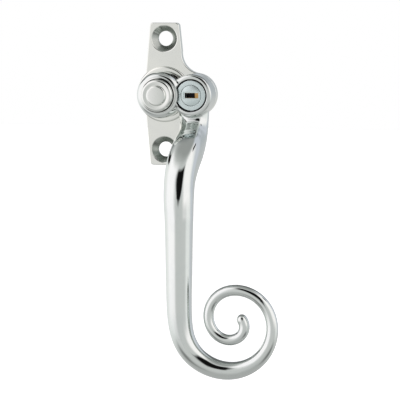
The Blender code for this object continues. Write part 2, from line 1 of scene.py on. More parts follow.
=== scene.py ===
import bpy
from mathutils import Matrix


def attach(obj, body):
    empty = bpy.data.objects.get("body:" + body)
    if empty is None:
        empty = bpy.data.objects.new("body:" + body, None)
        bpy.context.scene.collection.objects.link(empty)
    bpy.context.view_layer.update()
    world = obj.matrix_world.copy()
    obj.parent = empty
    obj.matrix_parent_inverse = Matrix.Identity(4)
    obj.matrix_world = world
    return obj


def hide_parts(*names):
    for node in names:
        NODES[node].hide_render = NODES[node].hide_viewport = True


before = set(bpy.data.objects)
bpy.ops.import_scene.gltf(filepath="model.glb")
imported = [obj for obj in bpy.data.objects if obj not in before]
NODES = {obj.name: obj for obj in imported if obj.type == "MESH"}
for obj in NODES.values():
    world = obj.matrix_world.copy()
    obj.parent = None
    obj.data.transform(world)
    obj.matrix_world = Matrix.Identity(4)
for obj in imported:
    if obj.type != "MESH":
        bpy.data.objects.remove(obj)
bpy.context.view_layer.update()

import bpy
import bmesh
import math
from mathutils import Matrix, Vector

MM = 0.001

# ------------------------------------------------------------------ dimensions
# The same driving dimensions as the CAD source, in millimetres. d is the
# distance from the sash face towards the room, so y = -d.
PLATE_T, PLATE_HALF_H, PLATE_HALF_W0, PLATE_TAPER = 3.0, 27.6, 8.10, 0.083
PLATE_CORNER, PLATE_EDGE = 1.3, 0.35
SCREW_PITCH, SCREW_HOLE_R, CSK_R = 43.0, 2.9, 5.08
BOSS_R, BOSS_TOP = 10.8, 3.8
LOBE_R, LOBE_X, LOBE_FILLET = 8.3, 12.4, 8.0
PLATE_BORE_R, COUNTERBORE_R, COUNTERBORE_D = 5.75, 8.6, 1.7
WASHER_SEAT_R, WASHER_SEAT = 9.05, 3.3
LOCK_X = 12.6
HUB_R, HUB_BACK, HUB_SHOULDER, HUB_FRONT = 9.0, 4.25, 11.1, 12.6
SPIGOT_R = 5.5
HOUSING_R_BASE, HOUSING_R_RIM, HOUSING_BACK, HOUSING_FRONT = 8.3, 8.1, 3.4, 11.4
BARREL_BORE_R = 6.05
GRIP_DEPTH = 29.2
BARREL_R, BARREL_FRONT, BARREL_BACK = 5.8, 11.2, 7.85
PLUG_R, PLUG_FRONT, PLUG_BACK = 3.95, 11.1, 8.6
CAM_R, CAM_FRONT, CAM_BACK = 3.4, 7.65, 4.35
BOLT_X, BOLT_R = 7.4, 0.9
SPINDLE_W, SPINDLE_FRONT = 7.0, 9.4
PIN_Z = -5.95
GAP = 0.25
SQ = SPINDLE_W / 2 + 0.15

# Neck stations: (distance from the sash face, z, half depth, half width, exponent,
# x offset, how much the room side is narrower)
NECK = [
    (6.45, -2.0, 2.4, 6.0, 5.5, 0.0, 0.38),
    (6.55, -6.0, 2.6, 5.9, 5.5, 0.0, 0.38),
    (6.80, -10.2, 3.0, 5.6, 5.5, 0.05, 0.38),
    (8.50, -14.1, 4.2, 5.5, 4.6, 0.15, 0.30),
    (12.2, -17.7, 5.3, 5.6, 3.9, 0.15, 0.15),
    (16.9, -21.1, 6.0, 5.8, 3.4, 0.0, 0.05),
    (21.6, -25.6, 6.15, 5.85, 2.9, -0.45, 0.0),
    (25.7, -31.3, 5.95, 5.75, 2.4, -0.6, 0.0),
    (28.4, -38.0, 5.6, 5.7, 2.15, -0.3, 0.0),
    (29.2, -45.0, 5.38, 5.45, 2.0, 0.0, 0.0),
]
GRIP = [(-50.0, 5.28), (-58.0, 5.14), (-66.0, 5.03)]
CURL_TOP = -72.0
CURL_LEN = 130.5
CURL_BEND = [1e9, 60.0, 16.5, 19.4, 17.6, 16.7, 16.1, 13.6, 13.5, 9.9, 9.6, 6.5, 4.2]
CURL_BAR = [4.9, 4.69, 4.28, 3.83, 3.34, 2.77, 2.35, 2.18, 2.15, 2.1, 2.03, 2.07, 2.1]


# --------------------------------------------------------------- mesh helpers
def to_object(name, bm):
    me = bpy.data.meshes.new(name)
    bmesh.ops.recalc_face_normals(bm, faces=bm.faces[:])
    bm.to_mesh(me)
    bm.free()
    ob = bpy.data.objects.new(name, me)
    bpy.context.scene.collection.objects.link(ob)
    return ob


def smooth_table(values, t):
    """Cubic through equally spaced values, t from 0 to 1."""
    n = len(values) - 1
    x = min(max(t, 0.0), 1.0) * n
    k = min(int(x), n - 1)
    u = x - k

    def slope(i):
        if i == 0:
            return values[1] - values[0]
        if i == n:
            return values[n] - values[n - 1]
        return (values[i + 1] - values[i - 1]) / 2
    a, b, ma, mb = values[k], values[k + 1], slope(k), slope(k + 1)
    return ((2 * u ** 3 - 3 * u * u + 1) * a + (u ** 3 - 2 * u * u + u) * ma
            + (3 * u * u - 2 * u ** 3) * b + (u ** 3 - u * u) * mb)


def arc(cx, cy, r, a0, a1, n):
    return [(cx + r * math.cos(math.radians(a0 + (a1 - a0) * i / n)),
             cy + r * math.sin(math.radians(a0 + (a1 - a0) * i / n))) for i in range(n + 1)]


def eased(profile, radius, steps=5, skip=()):
    """The closed or open profile with each inner corner rounded by a small arc."""
    out = []
    n = len(profile)
    for i, p in enumerate(profile):
        if i in (0, n - 1) or i in skip:
            out.append(p)
            continue
        a, b = Vector(profile[i - 1]), Vector(profile[i + 1])
        v = Vector(p)
        u, w = (a - v), (b - v)
        cut = min(radius, 0.45 * u.length, 0.45 * w.length)
        if u.normalized().dot(w.normalized()) < -0.985:
            out.append(p)
            continue
        p0, p1 = v + u.normalized() * cut, v + w.normalized() * cut
        for k in range(steps + 1):
            t = k / steps
            q = (1 - t) ** 2 * p0 + 2 * t * (1 - t) * v + t * t * p1
            out.append((q.x, q.y))
    return out


def turned(name, profile, steps, at=(0.0, 0.0), phase=0.0):
    """A turned solid about a Y-parallel axis through (x, z) = at. profile is a
    list of (radius, d); it closes on itself, or on the axis where r is 0."""
    bm = bmesh.new()
    n = len(profile)
    rows = []
    for r, d in profile:
        if r < 1e-6:
            rows.append([bm.verts.new((at[0] * MM, -d * MM, at[1] * MM))])
        else:
            rows.append([bm.verts.new(((at[0] + r * math.cos(2 * math.pi * (k + phase) / steps)) * MM, -d * MM,
                                       (at[1] + r * math.sin(2 * math.pi * (k + phase) / steps)) * MM))
                         for k in range(steps)])
    spans = [(i, i + 1) for i in range(n - 1)]
    if profile[0][0] > 1e-6 or profile[-1][0] > 1e-6:
        spans.append((n - 1, 0))
    for i, j in spans:
        a, b = rows[i], rows[j]
        if len(a) == 1 and len(b) == 1:
            continue
        for k in range(steps):
            m = (k + 1) % steps
            if len(a) == 1:
                bm.faces.new((a[0], b[m], b[k]))
            elif len(b) == 1:
                bm.faces.new((a[k], a[m], b[0]))
            else:
                bm.faces.new((a[k], a[m], b[m], b[k]))
    return to_object(name, bm)


def box(name, lo, hi):
    bm = bmesh.new()
    bmesh.ops.create_cube(bm, size=1.0)
    bmesh.ops.scale(bm, vec=[abs(b - a) * MM for a, b in zip(lo, hi)], verts=bm.verts)
    bmesh.ops.translate(bm, vec=[(a + b) / 2 * MM for a, b in zip(lo, hi)], verts=bm.verts)
    return to_object(name, bm)


def rod(name, p, q, radius, segments=24):
    p, q = Vector(p) * MM, Vector(q) * MM
    bm = bmesh.new()
    bmesh.ops.create_cone(bm, cap_ends=True, segments=segments, radius1=radius * MM,
                          radius2=radius * MM, depth=(q - p).length)
    turn = Vector((0, 0, 1)).rotation_difference((q - p).normalized()).to_matrix().to_4x4()
    bmesh.ops.transform(bm, matrix=Matrix.Translation((p + q) / 2) @ turn, verts=bm.verts)
    return to_object(name, bm)


def applied(ob):
    """Replaces an object's mesh by its evaluated one."""
    bpy.context.view_layer.update()
    dg = bpy.context.evaluated_depsgraph_get()
    me = bpy.data.meshes.new_from_object(ob.evaluated_get(dg))
    ob.modifiers.clear()
    old, ob.data = ob.data, me
    bpy.data.meshes.remove(old)
    me.name = ob.name
    return ob


def boolean(ob, others, op='DIFFERENCE'):
    for other in others:
        m = ob.modifiers.new("b", 'BOOLEAN')
        m.operation = op
        m.solver = 'EXACT'
        m.object = other
    applied(ob)
    for other in others:
        bpy.data.objects.remove(other, do_unlink=True)
    return ob


def tidy(ob, weld=0.000004):
    bm = bmesh.new()
    bm.from_mesh(ob.data)
    bmesh.ops.remove_doubles(bm, verts=bm.verts, dist=weld)
    bmesh.ops.dissolve_degenerate(bm, dist=weld / 2, edges=bm.edges)
    bmesh.ops.recalc_face_normals(bm, faces=bm.faces[:])
    bm.to_mesh(ob.data)
    bm.free()
    return ob


def shade(ob, angle, weighted=False):
    me = ob.data
    me.shade_smooth()
    me.set_sharp_from_angle(angle=math.radians(angle))
    if weighted:
        w = ob.modifiers.new("face_weight", 'WEIGHTED_NORMAL')
        w.mode = 'FACE_AREA'
        w.weight = 100
        w.keep_sharp = True
        applied(ob)
    return ob


# ------------------------------------------------------------------- the lever
def curl_path(turn, reach):
    bend = [1.0 / r for r in CURL_BEND]
    steps = 3000
    ds = CURL_LEN / steps
    x, z, th = LOCK_X, CURL_TOP, 0.0
    out = [(x, z, th, CURL_BAR[0])]
    th_last, s_last = 0.0, 0.0
    for i in range(steps):
        th_mid = th + smooth_table(bend, (i + 0.25) / steps) * ds / 2
        x += math.sin(th_mid) * ds
        z -= math.cos(th_mid) * ds
        th += smooth_table(bend, (i + 0.5) / steps) * ds
        s = (i + 1) * ds
        if th - th_last > math.radians(turn) or s - s_last > reach or i == steps - 1:
            out.append((x, z, th, smooth_table(CURL_BAR, (i + 1) / steps)))
            th_last, s_last = th, s
    return out


def superellipse(n, p):
    pts = []
    for i in range(n):
        a = 2 * math.pi * (i + 0.5) / n
        c, s = math.cos(a), math.sin(a)
        k = (abs(c) ** p + abs(s) ** p) ** (-1.0 / p)
        pts.append((c * k, s * k))
    return pts


def arm(ring, per_neck, turn, reach):
    rings = []
    cols = list(zip(*NECK))
    n_neck = (len(NECK) - 1) * per_neck
    for i in range(n_neck + 1):
        t = i / n_neck
        d, z, hd, hw, p, dx, taper = (smooth_table(c, t) for c in cols)
        e = 0.001
        dd = smooth_table(cols[0], t + e) - smooth_table(cols[0], t - e)
        dz = smooth_table(cols[1], t + e) - smooth_table(cols[1], t - e)
        k = math.hypot(dd, dz)
        nd, nz = -dz / k, dd / k
        rings.append([(LOCK_X + dx + hw * u * (1 - taper * max(v, 0.0)), -(d + nd * hd * v), z + nz * hd * v)
                      for u, v in superellipse(ring, p)])
    zs = [NECK[-1][1]] + [g[0] for g in GRIP] + [CURL_TOP]
    rs = [(NECK[-1][2], NECK[-1][3], NECK[-1][5])] + [(g[1], g[1], 0.0) for g in GRIP] + [(CURL_BAR[0],) * 2 + (0.0,)]
    for k in range(len(zs) - 1):
        n = max(2, int(abs(zs[k + 1] - zs[k]) / reach))
        for i in range(1, n + 1) if k < len(zs) - 2 else range(1, n):
            t = i / n
            t2 = (k + t) / (len(zs) - 1)
            hd, hw, dx = (smooth_table([q[m] for q in rs], t2) for m in range(3))
            z = zs[k] + (zs[k + 1] - zs[k]) * t
            rings.append([(LOCK_X + dx + hw * u, -(GRIP_DEPTH + hd * v), z) for u, v in superellipse(ring, 2)])
    path = curl_path(turn, reach)
    for x, z, th, r in path:
        rings.append([(x + math.cos(th) * r * u, -(GRIP_DEPTH + r * v), z + math.sin(th) * r * u)
                      for u, v in superellipse(ring, 2)])
    x, z, th, r = path[-1]
    for a in range(10, 90, 10):
        f, q = math.sin(math.radians(a)) * r, math.cos(math.radians(a)) * r
        cx, cz = x + math.sin(th) * f, z - math.cos(th) * f
        rings.append([(cx + math.cos(th) * q * u, -(GRIP_DEPTH + q * v), cz + math.sin(th) * q * u)
                      for u, v in superellipse(ring, 2)])
    bm = bmesh.new()
    loops = [[bm.verts.new(Vector(p) * MM) for p in r] for r in rings]
    for a, b in zip(loops[:-1], loops[1:]):
        for i in range(ring):
            j = (i + 1) % ring
            bm.faces.new((a[i], a[j], b[j], b[i]))
    bm.faces.new(list(reversed(loops[0])))
    bm.faces.new(loops[-1])
    return to_object("arm", bm)


def polished(ob, voxel, rounds):
    """One skin over all overlapping shells, with the edges and inner corners
    eased as polishing leaves them."""
    m = ob.modifiers.new("skin", 'REMESH')
    m.mode = 'VOXEL'
    m.voxel_size = voxel * MM
    m.adaptivity = 0.0
    m.use_smooth_shade = True
    s = ob.modifiers.new("ease", 'SMOOTH')
    s.factor = 0.5
    s.iterations = rounds
    return applied(ob)


def joined(name, obs):
    bm = bmesh.new()
    for o in obs:
        bm.from_mesh(o.data)
        bpy.data.objects.remove(o, do_unlink=True)
    return to_object(name, bm)


def build_lever():
    hub = turned("hub", [(0, HUB_FRONT)] + [(HUB_R - 1.9 + 1.9 * math.sin(math.radians(a)),
                                             HUB_FRONT - 2.9 + 2.9 * math.cos(math.radians(a))) for a in range(0, 91, 6)]
                 + [(HUB_R, HUB_BACK), (0, HUB_BACK)], 160, phase=0.37)
    housing = turned("housing", [(0, HOUSING_FRONT)] +
                     [(HOUSING_R_RIM - 0.8 + 0.8 * math.sin(math.radians(a)),
                       HOUSING_FRONT - 0.8 + 0.8 * math.cos(math.radians(a))) for a in range(0, 91, 15)]
                     + [(HOUSING_R_BASE, HOUSING_BACK), (0, HOUSING_BACK)], 160, at=(LOCK_X, 0), phase=0.37)
    a = arm(96, 12, 3.0, 0.8)
    relief = turned("relief", [(0, HUB_BACK), (BOSS_R + 0.4, HUB_BACK), (BOSS_R + 0.4, 1.0), (0, 1.0)], 144, phase=0.2)
    boolean(a, [housing, hub], 'UNION')
    boolean(a, [relief])
    polished(a, VOXEL, ROUNDS)
    a.name = "lever_casting"
    spigot = turned("spigot", [(0, HUB_BACK + 1.5), (SPIGOT_R, HUB_BACK + 1.5), (SPIGOT_R, COUNTERBORE_D + 0.3),
                               (SPIGOT_R - 0.3, COUNTERBORE_D), (0, COUNTERBORE_D)], 96)
    bore = turned("bore", [(0, HOUSING_FRONT + 1), (BARREL_BORE_R + 0.45, HOUSING_FRONT + 1),
                           (BARREL_BORE_R + 0.45, HOUSING_FRONT + 0.05)] +
                  [(BARREL_BORE_R + 0.45 * (1 - math.sin(math.radians(q))), HOUSING_FRONT - 0.45 + 0.45 * math.cos(math.radians(q)) + 0.0)
                   for q in range(15, 91, 15)] +
                  [(BARREL_BORE_R, BARREL_BACK - GAP), (CAM_R + 0.3, BARREL_BACK - GAP),
                   (CAM_R + 0.3, 1.0), (0, 1.0)], 160, at=(LOCK_X, 0), phase=0.13)
    channel = rod("channel", (BOLT_X, -BARREL_BACK + 0.1, 0), (BOLT_X, -1, 0), BOLT_R + 0.15, 16)
    slot = box("slot", (BOLT_X, -BARREL_BACK + 0.13, -0.6), (LOCK_X - CAM_R + 0.2, -1, 0.6))
    pin = rod("pin", (LOCK_X, -9.8, PIN_Z), (LOCK_X, -1, PIN_Z), 0.95, 14)
    socket = box("socket", (-SQ, -SPINDLE_FRONT - GAP, -SQ), (SQ, 1, SQ))
    recess = turned("recess", [(0, HUB_FRONT + 1), (5.3, HUB_FRONT + 1), (5.3, 10.8), (2.15, 10.8),
                               (2.15, SPINDLE_FRONT - 1), (0, SPINDLE_FRONT - 1)], 96, phase=0.31)
    boolean(a, [spigot], 'UNION')
    boolean(bore, [channel, slot, pin], 'UNION')
    boolean(socket, [recess], 'UNION')
    boolean(a, [bore])
    boolean(a, [socket])
    tidy(a)
    shade(a, 50)
    return a


# ------------------------------------------------------------------ back plate
def half_width(z):
    return PLATE_HALF_W0 - PLATE_TAPER * abs(z)


def plate_outline():
    pts = []
    top, c = PLATE_HALF_H, PLATE_CORNER
    wt = half_width(top)
    slope = math.atan(PLATE_TAPER)
    zc = 16.0
    for _ in range(30):
        xc = half_width(zc) + LOBE_FILLET / math.cos(slope)
        zc = math.sqrt((LOBE_FILLET + LOBE_R) ** 2 - (xc - LOBE_X) ** 2)
    toward_lobe = math.degrees(math.atan2(-zc, LOBE_X - xc)) % 360
    side = 180 - math.degrees(slope)
    right_up = arc(xc, zc, LOBE_FILLET, toward_lobe, side, 24)
    a_lobe = math.degrees(math.atan2(zc, xc - LOBE_X))
    lobe = arc(LOBE_X, 0, LOBE_R, -a_lobe, a_lobe, 60)
    right_down = [(x, -z) for x, z in reversed(right_up)]
    corner = arc(wt - c, top - c, c, 0, 90, 8)
    pts += [(-x, -z) for x, z in corner]
    pts += [(x, -z) for x, z in reversed(corner)]
    pts += right_down[:-1] + lobe + right_up[1:]
    pts += corner
    pts += [(-x, z) for x, z in reversed(corner)]
    pts.append((-half_width(0), 0.0))
    return pts


def build_plate():
    pts = plate_outline()
    bm = bmesh.new()
    back = [bm.verts.new((x * MM, 0, z * MM)) for x, z in pts]
    f = bm.faces.new(back)
    ext = bmesh.ops.extrude_face_region(bm, geom=[f])
    bmesh.ops.translate(bm, vec=(0, -PLATE_T * MM, 0),
                        verts=[v for v in ext["geom"] if isinstance(v, bmesh.types.BMVert)])
    ob = to_object("back_plate_casting", bm)
    b = ob.modifiers.new("edge", 'BEVEL')
    b.width = PLATE_EDGE * MM
    b.segments = 4
    b.limit_method = 'ANGLE'
    b.angle_limit = math.radians(60)
    b.use_clamp_overlap = False
    applied(ob)
    boss = turned("boss", [(0, BOSS_TOP)] + [(BOSS_R - 0.7 + 0.7 * math.sin(math.radians(q)),
                                             BOSS_TOP - 0.7 + 0.7 * math.cos(math.radians(q))) for q in range(0, 91, 15)]
                  + [(BOSS_R, 2.0), (0, 2.0)], 192, phase=0.37)
    boolean(ob, [boss], 'UNION')
    bore = turned("pbore", [(0, BOSS_TOP + 2), (WASHER_SEAT_R, BOSS_TOP + 2), (WASHER_SEAT_R, WASHER_SEAT),
                            (PLATE_BORE_R, WASHER_SEAT), (PLATE_BORE_R, COUNTERBORE_D),
                            (COUNTERBORE_R, COUNTERBORE_D), (COUNTERBORE_R, -1), (0, -1)], 144, phase=0.21)
    holes = []
    for sign in (1, -1):
        lip = PLATE_T - (CSK_R - SCREW_HOLE_R)
        holes.append(turned("hole", [(0, PLATE_T + 1), (CSK_R + 0.25, PLATE_T + 1), (CSK_R + 0.25, PLATE_T + 0.01),
                                     (CSK_R + 0.08, PLATE_T - 0.05), (CSK_R - 0.1, PLATE_T - 0.16),
                                     (SCREW_HOLE_R + 0.12, lip + 0.12), (SCREW_HOLE_R + 0.03, lip + 0.0),
                                     (SCREW_HOLE_R, lip - 0.12), (SCREW_HOLE_R, -1), (0, -1)], 96,
                            at=(0, sign * SCREW_PITCH / 2), phase=0.11))
    socks = [rod("sock", (x, -WASHER_SEAT - 1, z), (x, -WASHER_SEAT + 0.9, z), BOLT_R + 0.15, 20)
             for x, z in ((BOLT_X, 0), (0, BOLT_X))]
    boolean(ob, [bore] + holes + socks)
    tidy(ob)
    shade(ob, 32, weighted=True)
    return ob


def build_cap():
    p = [(0, 16.3), (2.6, 16.3), (3.25, 16.26)]
    p += arc(3.25, 15.66, 0.6, 80, 0, 8)
    p += [(3.85, 15.4), (3.93, 15.3), (4.1, 15.28), (4.3, 15.33)]
    p += arc(5.2, 14.35, 1.0, 100, 0, 16)
    p += [(6.2, 13.35), (6.3, 13.2), (6.75, 13.15), (6.9, 13.02), (6.9, 12.85), (5.05, 12.85), (5.05, 11.6),
          (4.2, 11.6), (4.2, 13.6), (0, 13.6)]
    ob = turned("hub_cap_dome", p, 192)
    tidy(ob)
    shade(ob, 40)
    return ob


def build_barrel():
    ob = turned("lock_barrel_face", [(PLUG_R + 0.08, BARREL_FRONT - 0.08), (PLUG_R + 0.18, BARREL_FRONT)] +
                [(BARREL_R - 0.25 + 0.25 * math.sin(math.radians(q)), BARREL_FRONT - 0.25 + 0.25 * math.cos(math.radians(q)))
                 for q in range(0, 91, 18)] +
                [(BARREL_R, BARREL_BACK), (2.6, BARREL_BACK), (2.6, BARREL_BACK + 0.55),
                 (PLUG_R + 0.08, BARREL_BACK + 0.55)], 160, at=(LOCK_X, 0))
    boolean(ob, [rod("pin2", (LOCK_X, -9.8, PIN_Z), (LOCK_X, -1, PIN_Z), 0.95, 20)])
    tidy(ob)
    shade(ob, 32)
    return ob


def build_plug():
    TAIL = 1.2
    ob = turned("lock_plug_face", [(0, PLUG_FRONT), (PLUG_R - 0.15, PLUG_FRONT), (PLUG_R - 0.04, PLUG_FRONT - 0.05),
                                   (PLUG_R, PLUG_FRONT - 0.15), (PLUG_R, PLUG_BACK), (2.3, PLUG_BACK),
                                   (2.3, CAM_FRONT + GAP), (0, CAM_FRONT + GAP)], 128, at=(LOCK_X, 0))
    tail = box("tail", (LOCK_X - TAIL, -CAM_FRONT - 1.2, -TAIL), (LOCK_X + TAIL, -CAM_BACK - 0.35, TAIL))
    boolean(ob, [tail], 'UNION')
    cuts = [box("c", (LOCK_X - 2.95, -PLUG_FRONT - 1, -1.3), (LOCK_X + 3.35, -PLUG_FRONT + 0.2, 1.3)),
            box("c", (LOCK_X - 2.4, -PLUG_FRONT - 1, -1.02), (LOCK_X + 2.95, -PLUG_BACK + 0.2, 1.02)),
            rod("c", (LOCK_X, -PLUG_BACK + 0.5, 0), (LOCK_X, 0, 0), 0.65, 12)]
    for d in (10.22, 9.62, 9.02):
        cuts.append(box("c", (LOCK_X - 3.4, -d - 0.2, -1.5), (LOCK_X + 3.4, -d + 0.2, 1.5)))
        cuts.append(box("c", (LOCK_X - 2.3, -d - 0.2, 1.2), (LOCK_X + 1.7, -d + 0.2, 2.4)))
    boolean(ob, cuts)
    tidy(ob)
    shade(ob, 30)
    return ob


VOXEL = 0.32
ROUNDS = 16

lever = build_lever()
plate = build_plate()
cap = build_cap()
barrel = build_barrel()
plug = build_plug()

for piece, body, node, slot in ((lever, "handle", "lever", "chrome_lever"), (plate, "mount", "back_plate", "chrome_plate"),
                                (cap, "handle", "hub_cap", "chrome_cap"), (barrel, "handle", "lock_barrel", "satin_barrel"),
                                (plug, "key_plug", "lock_plug", "satin_plug")):
    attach(piece, body)
    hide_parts(node)

# ------------------------------------------------------------------- materials
class Net:
    """Short hand for building a node tree."""

    def __init__(self, tree):
        self.t = tree

    def node(self, kind, ins=None, **props):
        n = self.t.nodes.new(kind)
        for k, v in props.items():
            setattr(n, k, v)
        for k, v in (ins or {}).items():
            self.put(n.inputs[k], v)
        return n

    def put(self, socket, v):
        if isinstance(v, bpy.types.NodeSocket):
            self.t.links.new(v, socket)
        elif isinstance(v, (tuple, list)) and len(v) == 3 and socket.type == 'RGBA':
            socket.default_value = (*v, 1.0)
        else:
            socket.default_value = v

    def math(self, op, a, b=None, c=None, clamp=False):
        n = self.node('ShaderNodeMath', operation=op, use_clamp=clamp)
        for s, v in zip(n.inputs, (a, b, c)):
            if v is not None:
                self.put(s, v)
        return n.outputs[0]

    def step(self, x, a, b, lo=0.0, hi=1.0):
        """Smooth step of x from lo at a to hi at b."""
        n = self.node('ShaderNodeMapRange', interpolation_type='SMOOTHSTEP', clamp=True)
        n.inputs['Value'].default_value = 0.0
        self.put(n.inputs['Value'], x)
        flip = a > b
        self.put(n.inputs['From Min'], min(a, b))
        self.put(n.inputs['From Max'], max(a, b))
        self.put(n.inputs['To Min'], hi if flip else lo)
        self.put(n.inputs['To Max'], lo if flip else hi)
        return n.outputs['Result']

    def band(self, x, a, b, c, d):
        return self.math('MULTIPLY', self.step(x, a, b), self.step(x, d, c))

    def mix(self, f, a, b):
        n = self.node('ShaderNodeMix', data_type='RGBA', clamp_factor=True)
        self.put(n.inputs['Factor'], f)
        self.put(n.inputs[6], a)
        self.put(n.inputs[7], b)
        return n.outputs[2]

    def noise(self, vec, scale, detail=3.0, rough=0.5, distortion=0.0):
        n = self.node('ShaderNodeTexNoise', {'Vector': vec, 'Scale': scale, 'Detail': detail,
                                             'Roughness': rough, 'Distortion': distortion})
        return n.outputs['Fac']


def surface(name, **fixed):
    m = bpy.data.materials.new(name)
    m.use_nodes = True
    net = Net(m.node_tree)
    b = m.node_tree.nodes["Principled BSDF"]
    for k, v in fixed.items():
        net.put(b.inputs[k.replace("_", " ")], v)
    co = net.node('ShaderNodeTexCoord').outputs['Object']
    return m, net, b, co


def stretched(net, co, scale, turn=(0, 0, 0)):
    return net.node('ShaderNodeMapping', {'Vector': co, 'Scale': scale, 'Rotation': turn}).outputs['Vector']


CHROME = (0.700, 0.737, 0.712)


def chrome(name, rough=0.05, wave=1.0, seed=0.0, lines=(900, 900, 60), base=CHROME, recesses=(), crevice_shade=None):
    """Bright polished chrome: a trace of casting waviness under the plating,
    faint polishing lines, and finger haze in the roughness."""
    m, net, b, co = surface(name, Metallic=1.0)
    moved = net.node('ShaderNodeMapping', {'Vector': co, 'Location': (seed, 2 * seed, 3 * seed)}).outputs['Vector']
    haze = net.noise(moved, 90, 4.0, 0.62, 0.6)
    fine = net.noise(moved, 2600, 2.0, 0.5)
    swirl = net.noise(stretched(net, moved, lines), 4.0, 3.0, 0.55)
    tone = net.mix(net.step(haze, 0.35, 0.70), (base[0] * 1.012, base[1] * 1.012, base[2] * 1.008),
                   (base[0] * 0.975, base[1] * 0.978, base[2] * 0.985))
    sunk_shade_mask = 0.0
    # Countersink recesses: a rougher finish, and a darker base colour there which is painted shade.
    if recesses:
        sep = net.node('ShaderNodeSeparateXYZ', {'Vector': co})
        below = net.math('MULTIPLY', net.step(sep.outputs['Y'], -(PLATE_T - 0.05) * MM, -(PLATE_T - 0.25) * MM),
                         net.step(sep.outputs['Y'], -0.15 * MM, -0.35 * MM))
        for hx, hz, hr in recesses:
            px = net.math('SUBTRACT', sep.outputs['X'], hx * MM)
            pz = net.math('SUBTRACT', sep.outputs['Z'], hz * MM)
            far = net.math('SQRT', net.math('ADD', net.math('MULTIPLY', px, px), net.math('MULTIPLY', pz, pz)))
            inside = net.math('MULTIPLY', net.step(far, (hr + 0.35) * MM, (hr + 0.15) * MM), below)
            sunk_shade_mask = net.math('MAXIMUM', sunk_shade_mask, inside)
        recess_painted_shade = net.mix(net.step(haze, 0.3, 0.7), (0.46, 0.49, 0.46), (0.34, 0.37, 0.34))
        tone = net.mix(sunk_shade_mask, tone, recess_painted_shade)
    # Painted shade: a thin ring in the gap round the lock barrel bore, or on the cap's foot wall, is coloured near
    # black.
    if crevice_shade:
        cx, inner, cr, cd = crevice_shade
        sep = net.node('ShaderNodeSeparateXYZ', {'Vector': co})
        px = net.math('SUBTRACT', sep.outputs['X'], cx * MM)
        far = net.math('SQRT', net.math('ADD', net.math('MULTIPLY', px, px),
                                        net.math('MULTIPLY', sep.outputs['Z'], sep.outputs['Z'])))
        gap_shade = net.math('MULTIPLY', net.step(far, (cr + 0.06) * MM, (cr - 0.02) * MM),
                       net.step(sep.outputs['Y'], -(cd + 0.05) * MM, -(cd - 0.02) * MM))
        gap_shade = net.math('MULTIPLY', gap_shade, net.step(sep.outputs['Y'], -7.4 * MM, -7.7 * MM))
        if inner:
            gap_shade = net.math('MULTIPLY', gap_shade, net.step(far, (inner - 0.05) * MM, (inner + 0.02) * MM))
        tone = net.mix(gap_shade, tone, (0.012, 0.013, 0.015))
    net.put(b.inputs['Base Color'], tone)
    r = net.math('MULTIPLY_ADD', net.step(haze, 0.42, 0.72), 0.030, rough)
    r = net.math('MULTIPLY_ADD', fine, 0.012, r)
    r = net.math('MULTIPLY_ADD', net.step(swirl, 0.52, 0.75), 0.022, r)
    r = net.math('MULTIPLY_ADD', sunk_shade_mask, 0.12, r)
    net.put(b.inputs['Roughness'], r)
    wavy = net.noise(moved, 170, 2.0, 0.45)
    h = net.math('MULTIPLY', wavy, 0.0000100 * wave)
    h = net.math('MULTIPLY_ADD', swirl, 0.00000022, h)
    h = net.math('MULTIPLY_ADD', fine, 0.00000006, h)
    bump = net.node('ShaderNodeBump', {'Strength': 1.0, 'Distance': 1.0, 'Height': h})
    net.put(b.inputs['Normal'], bump.outputs['Normal'])
    return m


def satin(name, colour, rough, seed, keyway_shade=False):
    """Turned and plated face: fine concentric tool marks about the lock axis
    with a peened speckle."""
    m, net, b, co = surface(name, Metallic=1.0)
    sep = net.node('ShaderNodeSeparateXYZ', {'Vector': co})
    dx = net.math('SUBTRACT', sep.outputs['X'], LOCK_X * MM)
    rad = net.math('SQRT', net.math('ADD', net.math('MULTIPLY', dx, dx),
                                    net.math('MULTIPLY', sep.outputs['Z'], sep.outputs['Z'])))
    vec = net.node('ShaderNodeCombineXYZ', {'X': net.math('MULTIPLY', rad, 9000.0), 'Y': seed, 'Z': 0.0}).outputs[0]
    rings = net.noise(vec, 1.0, 2.0, 0.6)
    speck = net.noise(co, 3800, 2.0, 0.6)
    cloud = net.noise(co, 420, 3.0, 0.6)
    c2 = tuple(0.92 * x for x in colour)
    tone = net.mix(net.step(speck, 0.40, 0.70), colour, c2)
    tone = net.mix(net.step(cloud, 0.50, 0.80, 0.0, 0.5), tone, tuple(min(1.0, 1.05 * x) for x in colour))
    # Painted shade: the keyway slot below the plug face is coloured near black.
    if keyway_shade:
        across = net.step(net.math('ABSOLUTE', dx), 2.75 * MM, 2.55 * MM)
        sunk_shade_mask = net.math('MULTIPLY', across, net.step(sep.outputs['Y'], -(PLUG_FRONT - 0.22) * MM, -(PLUG_FRONT - 0.34) * MM))
        tone = net.mix(sunk_shade_mask, tone, (0.012, 0.012, 0.014))
    net.put(b.inputs['Base Color'], tone)
    r = net.math('MULTIPLY_ADD', speck, 0.14, rough)
    net.put(b.inputs['Roughness'], net.math('MULTIPLY_ADD', rings, 0.08, r))
    h = net.math('MULTIPLY', rings, 0.0000012)
    h = net.math('MULTIPLY_ADD', speck, 0.0000011, h)
    bump = net.node('ShaderNodeBump', {'Strength': 1.0, 'Distance': 1.0, 'Height': h})
    net.put(b.inputs['Normal'], bump.outputs['Normal'])
    return m


